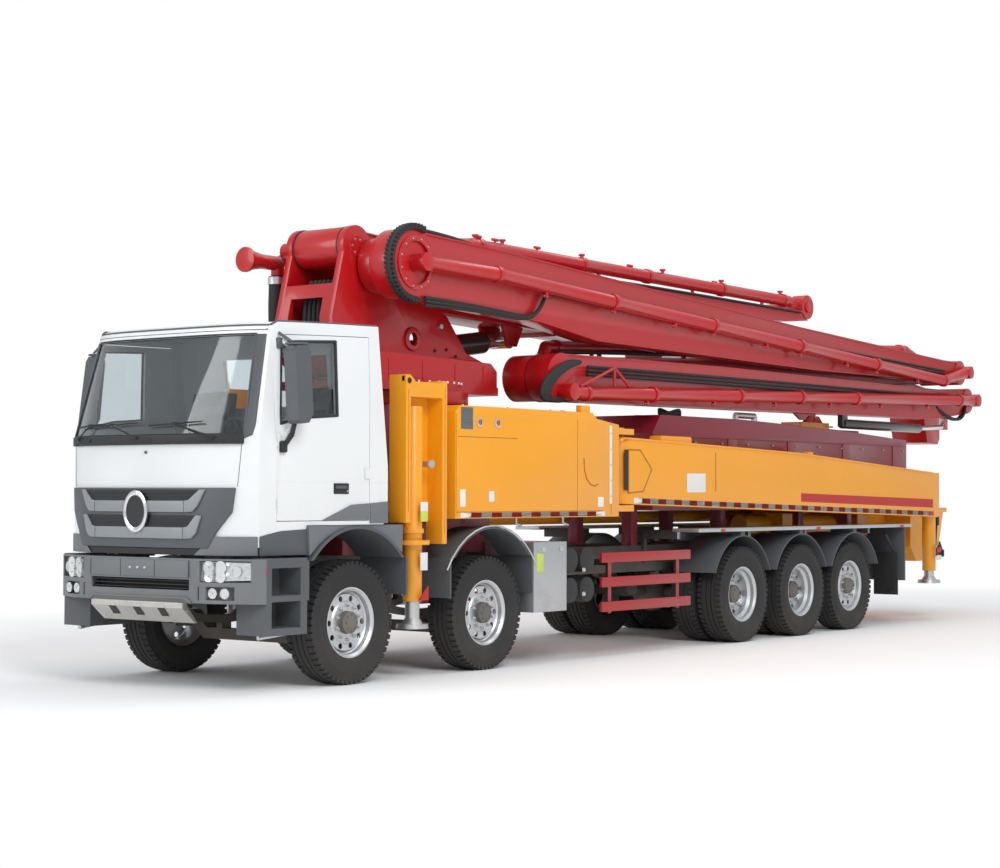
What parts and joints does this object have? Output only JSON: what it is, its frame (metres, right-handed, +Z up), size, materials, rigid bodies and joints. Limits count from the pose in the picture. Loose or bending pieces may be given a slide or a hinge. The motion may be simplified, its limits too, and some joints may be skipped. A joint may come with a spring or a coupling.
{
  "type": "truck-mounted concrete pump",
  "caption": "Multi-axle truck with a tilting cab, slewing turret, folded multi-arm placing boom with delivery pipe, swing-out outriggers and rear hopper.",
  "frame": {"origin": "on the ground under the middle of the overall box, on the vehicle's centre plane", "axes": "+X forward to the cab, +Y to the vehicle's left, +Z up"},
  "size_m": [15.2, 2.95, 4.2443],
  "materials": {
    "frame_paint": "satin black chassis paint",
    "engine_iron": "cast",
    "tank_aluminium": "brushed",
    "guard_red": "gloss paint",
    "dark_plastic": "grained dark grey plastic",
    "lamp_glass": "clear lens",
    "box_yellow": "gloss orange-yellow paint",
    "tank_wine_red": "gloss dark red paint",
    "cab_white": "gloss white paint",
    "cab_glass": "lightly tinted",
    "interior_plastic": "grained",
    "boom_red": "gloss red paint",
    "cylinder_black": "gloss black paint",
    "rod_chrome": "hard chrome",
    "hose_rubber": "black rubber",
    "grate_steel": "bare steel",
    "jack_steel": "ground steel",
    "knuckle_steel": "forged steel, painted",
    "tyre_rubber": "black tyre rubber"
  },
  "bodies": {
    "chassis": {"frame_rails": "frame_paint", "engine_block": "engine_iron", "front_axle_beams": "frame_paint", "rear_axle_housings": "frame_paint", "chassis_tanks": "tank_aluminium", "side_guards": "guard_red", "fenders": "dark_plastic", "bumper": "dark_plastic", "headlamps": "lamp_glass", "skid_plate": "tank_aluminium", "front_boxes": "box_yellow", "pedestal": "tank_wine_red", "walkway": "tank_aluminium", "deck_tank": "tank_wine_red", "boom_rest": "box_yellow", "pump_unit": "box_yellow", "hopper": "box_yellow"},
    "cab": {"cab_shell": "cab_white", "cab_glass": "cab_glass", "cab_grille": "dark_plastic", "cab_interior": "interior_plastic"},
    "arm_6": {"arm_6": "boom_red", "end_hose": "hose_rubber"},
    "hopper_grate": {"hopper_grate": "grate_steel"},
    "agitator": {"agitator": "grate_steel"},
    "door_left": {"door_left": "cab_white"},
    "door_right": {"door_right": "cab_white"},
    "knuckle_1_left": {"knuckle_1_left": "knuckle_steel"},
    "knuckle_1_right": {"knuckle_1_right": "knuckle_steel"},
    "knuckle_2_left": {"knuckle_2_left": "knuckle_steel"},
    "knuckle_2_right": {"knuckle_2_right": "knuckle_steel"},
    "knuckle_5_left": {"knuckle_5_left": "knuckle_steel"},
    "knuckle_5_right": {"knuckle_5_right": "knuckle_steel"},
    "wheel_1_left": {"wheel_1_left": "tyre_rubber"},
    "wheel_1_right": {"wheel_1_right": "tyre_rubber"},
    "wheel_2_left": {"wheel_2_left": "tyre_rubber"},
    "wheel_2_right": {"wheel_2_right": "tyre_rubber"},
    "wheel_3_left": {"wheel_3_left": "tyre_rubber"},
    "wheel_3_right": {"wheel_3_right": "tyre_rubber"},
    "wheel_4_left": {"wheel_4_left": "tyre_rubber"},
    "wheel_4_right": {"wheel_4_right": "tyre_rubber"},
    "wheel_5_left": {"wheel_5_left": "tyre_rubber"},
    "wheel_5_right": {"wheel_5_right": "tyre_rubber"},
    "turret": {"turret": "boom_red"},
    "lift_barrel": {"lift_barrel": "cylinder_black"},
    "lift_rod": {"lift_rod": "rod_chrome"},
    "arm_1": {"arm_1": "boom_red"},
    "arm_2": {"arm_2": "boom_red"},
    "arm_3": {"arm_3": "boom_red"},
    "arm_4": {"arm_4": "boom_red"},
    "arm_5": {"arm_5": "boom_red"},
    "front_outrigger_left": {"front_outrigger_left": "box_yellow"},
    "front_outrigger_right": {"front_outrigger_right": "box_yellow"},
    "rear_outrigger_left": {"rear_outrigger_left": "box_yellow"},
    "rear_outrigger_right": {"rear_outrigger_right": "box_yellow"},
    "front_jack_left": {"front_jack_left": "jack_steel"},
    "front_jack_right": {"front_jack_right": "jack_steel"},
    "rear_jack_left": {"rear_jack_left": "jack_steel"},
    "rear_jack_right": {"rear_jack_right": "jack_steel"}
  },
  "joints": [
    {"name": "steer_1_left", "type": "hinge", "parent": "chassis", "child": "knuckle_1_left", "pos_m": [6.16, 0.89, 0.538], "axis": [0, 0, 1], "range_deg": [-35, 35]},
    {"name": "roll_1_left", "type": "hinge", "parent": "knuckle_1_left", "child": "wheel_1_left", "pos_m": [6.16, 1.024, 0.538], "axis": [0, 1, 0], "continuous": true},
    {"name": "steer_1_right", "type": "hinge", "parent": "chassis", "child": "knuckle_1_right", "pos_m": [6.16, -0.89, 0.538], "axis": [0, 0, 1], "range_deg": [-35, 35]},
    {"name": "roll_1_right", "type": "hinge", "parent": "knuckle_1_right", "child": "wheel_1_right", "pos_m": [6.16, -1.024, 0.538], "axis": [0, 1, 0], "continuous": true},
    {"name": "steer_2_left", "type": "hinge", "parent": "chassis", "child": "knuckle_2_left", "pos_m": [4.24, 0.89, 0.538], "axis": [0, 0, 1], "range_deg": [-28, 28]},
    {"name": "roll_2_left", "type": "hinge", "parent": "knuckle_2_left", "child": "wheel_2_left", "pos_m": [4.24, 1.024, 0.538], "axis": [0, 1, 0], "continuous": true},
    {"name": "steer_2_right", "type": "hinge", "parent": "chassis", "child": "knuckle_2_right", "pos_m": [4.24, -0.89, 0.538], "axis": [0, 0, 1], "range_deg": [-28, 28]},
    {"name": "roll_2_right", "type": "hinge", "parent": "knuckle_2_right", "child": "wheel_2_right", "pos_m": [4.24, -1.024, 0.538], "axis": [0, 1, 0], "continuous": true},
    {"name": "steer_5_left", "type": "hinge", "parent": "chassis", "child": "knuckle_5_left", "pos_m": [-3.12, 0.89, 0.538], "axis": [0, 0, 1], "range_deg": [-17.5, 17.5]},
    {"name": "roll_5_left", "type": "hinge", "parent": "knuckle_5_left", "child": "wheel_5_left", "pos_m": [-3.12, 1.024, 0.538], "axis": [0, 1, 0], "continuous": true},
    {"name": "steer_5_right", "type": "hinge", "parent": "chassis", "child": "knuckle_5_right", "pos_m": [-3.12, -0.89, 0.538], "axis": [0, 0, 1], "range_deg": [-17.5, 17.5]},
    {"name": "roll_5_right", "type": "hinge", "parent": "knuckle_5_right", "child": "wheel_5_right", "pos_m": [-3.12, -1.024, 0.538], "axis": [0, 1, 0], "continuous": true},
    {"name": "roll_3_left", "type": "hinge", "parent": "chassis", "child": "wheel_3_left", "pos_m": [-0.42, 1.07, 0.538], "axis": [0, 1, 0], "continuous": true},
    {"name": "roll_3_right", "type": "hinge", "parent": "chassis", "child": "wheel_3_right", "pos_m": [-0.42, -1.07, 0.538], "axis": [0, 1, 0], "continuous": true},
    {"name": "roll_4_left", "type": "hinge", "parent": "chassis", "child": "wheel_4_left", "pos_m": [-1.77, 1.07, 0.538], "axis": [0, 1, 0], "continuous": true},
    {"name": "roll_4_right", "type": "hinge", "parent": "chassis", "child": "wheel_4_right", "pos_m": [-1.77, -1.07, 0.538], "axis": [0, 1, 0], "continuous": true},
    {"name": "cab_tilt", "type": "hinge", "parent": "chassis", "child": "cab", "pos_m": [7.52, 0, 1.165], "axis": [0, 1, 0], "range_deg": [0, 60]},
    {"name": "door_swing_left", "type": "hinge", "parent": "cab", "child": "door_left", "pos_m": [7.223, 1.254, 2], "axis": [0, 0, -1], "range_deg": [0, 70]},
    {"name": "door_swing_right", "type": "hinge", "parent": "cab", "child": "door_right", "pos_m": [7.223, -1.254, 2], "axis": [0, 0, 1], "range_deg": [0, 70]},
    {"name": "boom_lift", "type": "hinge", "parent": "turret", "child": "arm_1", "pos_m": [5.2, 0, 3.975], "axis": [0, 1, 0], "range_deg": [0, 90]},
    {"name": "slew", "type": "hinge", "parent": "chassis", "child": "turret", "pos_m": [4.21, 0, 2.5], "axis": [0, 0, -1], "range_deg": [0, 360]},
    {"name": "fold_2", "type": "hinge", "parent": "arm_1", "child": "arm_2", "pos_m": [-7.24, 0, 2.98], "axis": [0, -1, 0], "range_deg": [0, 180]},
    {"name": "fold_3", "type": "hinge", "parent": "arm_2", "child": "arm_3", "pos_m": [2.6, 0, 2.85], "axis": [0, 1, 0], "range_deg": [0, 180]},
    {"name": "fold_4", "type": "hinge", "parent": "arm_3", "child": "arm_4", "pos_m": [-6.99, 0, 3.36], "axis": [0, -1, 0], "range_deg": [0, 180]},
    {"name": "fold_5", "type": "hinge", "parent": "arm_4", "child": "arm_5", "pos_m": [4.96, 0, 3.805], "axis": [0, 1, 0], "range_deg": [0, 180]},
    {"name": "fold_6", "type": "hinge", "parent": "arm_5", "child": "arm_6", "pos_m": [-3.14, 0, 4.01], "axis": [0, -1, 0], "range_deg": [0, 180]},
    {"name": "lift_barrel_swing", "type": "hinge", "parent": "turret", "child": "lift_barrel", "pos_m": [4.76, 0, 2.96], "axis": [0, 1, 0], "range_deg": [0, 78.07]},
    {"name": "lift_rod_slide", "type": "slide", "parent": "lift_barrel", "child": "lift_rod", "axis": [-0.9906, 0, 0.1365], "range_m": [0, 1.4452]},
    {"name": "front_outrigger_out_left", "type": "slide", "parent": "chassis", "child": "front_outrigger_left", "axis": [0, 1, 0], "range_m": [0, 1.6]},
    {"name": "front_jack_down_left", "type": "slide", "parent": "front_outrigger_left", "child": "front_jack_left", "axis": [0, 0, -1], "range_m": [0, 0.42]},
    {"name": "rear_outrigger_swing_left", "type": "hinge", "parent": "chassis", "child": "rear_outrigger_left", "pos_m": [1.86, 1.08, 1.9], "axis": [0, 0, -1], "range_deg": [0, 95]},
    {"name": "rear_jack_down_left", "type": "slide", "parent": "rear_outrigger_left", "child": "rear_jack_left", "axis": [0, 0, -1], "range_m": [0, 0.46]},
    {"name": "front_outrigger_out_right", "type": "slide", "parent": "chassis", "child": "front_outrigger_right", "axis": [0, -1, 0], "range_m": [0, 1.6]},
    {"name": "front_jack_down_right", "type": "slide", "parent": "front_outrigger_right", "child": "front_jack_right", "axis": [0, 0, -1], "range_m": [0, 0.42]},
    {"name": "rear_outrigger_swing_right", "type": "hinge", "parent": "chassis", "child": "rear_outrigger_right", "pos_m": [1.86, -1.08, 1.9], "axis": [0, 0, 1], "range_deg": [0, 95]},
    {"name": "rear_jack_down_right", "type": "slide", "parent": "rear_outrigger_right", "child": "rear_jack_right", "axis": [0, 0, -1], "range_m": [0, 0.46]},
    {"name": "grate_lid", "type": "hinge", "parent": "chassis", "child": "hopper_grate", "pos_m": [-5.81, 0, 1.51], "axis": [0, 1, 0], "range_deg": [0, 85]},
    {"name": "agitator_turn", "type": "hinge", "parent": "chassis", "child": "agitator", "pos_m": [-6.27, 0, 1.08], "axis": [0, 1, 0], "continuous": true}
  ],
  "couplings": [
    {"joint": "steer_1_right", "follows": "steer_1_left", "ratio": 1},
    {"joint": "steer_2_left", "follows": "steer_1_left", "ratio": 0.8},
    {"joint": "steer_2_right", "follows": "steer_1_left", "ratio": 0.8},
    {"joint": "steer_5_left", "follows": "steer_1_left", "ratio": -0.5},
    {"joint": "steer_5_right", "follows": "steer_1_left", "ratio": -0.5},
    {"joint": "slew", "follows": "boom_lift", "ratio": 4},
    {"joint": "fold_3", "follows": "fold_2", "ratio": 1},
    {"joint": "lift_barrel_swing", "follows": "boom_lift", "ratio": 0.86738},
    {"joint": "lift_rod_slide", "follows": "boom_lift", "m_per_rad": 0.91878}
  ]
}
